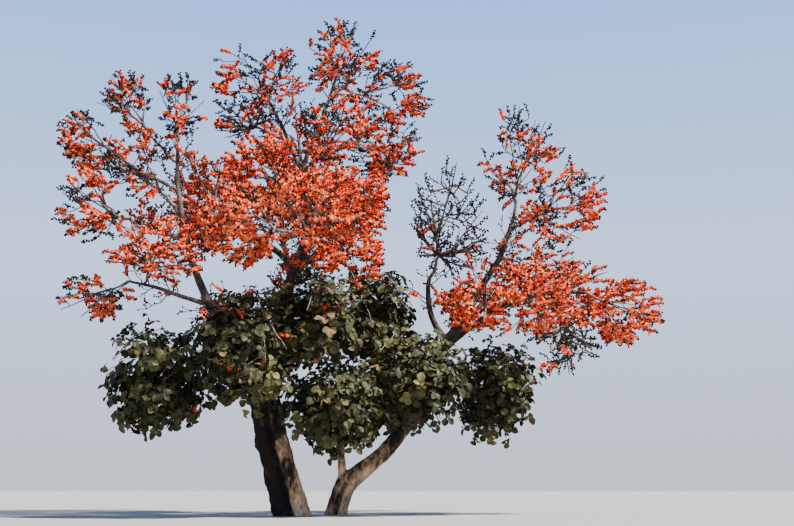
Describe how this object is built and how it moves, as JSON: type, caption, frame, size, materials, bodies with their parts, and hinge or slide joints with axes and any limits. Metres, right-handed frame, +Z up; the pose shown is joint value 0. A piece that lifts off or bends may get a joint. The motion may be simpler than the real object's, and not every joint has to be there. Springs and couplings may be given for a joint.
{
  "type": "flame tree",
  "caption": "Rooted flame tree in flower: leaning trunks from one root, spreading boughs, masses of orange blossom above and a skirt of round leaves below.",
  "frame": {"origin": "on the ground at the flat cut under the left, main trunk, near the middle of that cut", "axes": "+Z up, +X to the right across the crown's width, +Y away from the side that is seen first, so the front looks along -Y"},
  "size_m": [10.4932, 7.0493, 8.7762],
  "materials": {
    "bark": "rough, cracked, knotty grey-brown bark, almost black in the shade",
    "blossom": "thick soft petals, orange-red, matt",
    "buds": "dark velvety buds, calyces and thin dark twigs",
    "leaves": "thick leathery leaflets, dark green, some yellow or tan, a slight sheen"
  },
  "bodies": {
    "root": {"left_trunk": "bark", "right_trunk": "bark", "left_stem": "bark", "middle_stem": "bark", "left_high_bough": "bark", "left_low_bough": "bark", "leader": "bark", "arching_bough": "bark", "shoulder_bough": "bark", "front_bough": "bark", "back_bough": "bark", "top_left_bough": "bark", "top_right_bough": "bark", "small_stem": "bark", "main_stem": "bark", "bare_bough": "bark", "curved_bough": "bark", "far_right_bough": "bark", "right_back_bough": "bark", "top_peak": "blossom", "top_left": "blossom", "top_right": "blossom", "upper_front": "blossom", "upper_right": "blossom", "upper_back": "blossom", "spire_left": "blossom", "spire_right": "blossom", "tip_left_high": "blossom", "tip_left": "blossom", "inner_left_high": "blossom", "tip_left_low": "blossom", "inner_left": "blossom", "band_left": "blossom", "band_left_front": "blossom", "band_left_back": "blossom", "band_front": "blossom", "band_middle": "blossom", "band_back": "blossom", "band_right": "blossom", "band_right_back": "blossom", "droop_right": "blossom", "right_peak": "blossom", "right_shoulder": "blossom", "fan_front": "blossom", "fan_inner": "blossom", "fan_back": "blossom", "fan_middle": "blossom", "fan_tip": "blossom", "upper_left": "buds", "bare_crown": "buds", "fan_under": "buds", "leaves_left": "leaves", "leaves_front": "leaves", "leaves_middle": "leaves", "leaves_back": "leaves", "leaves_right_high": "leaves", "leaves_low": "leaves", "leaves_right_low": "leaves", "leaves_right_back": "leaves", "leaves_hanging": "leaves"}
  },
  "joints": []
}
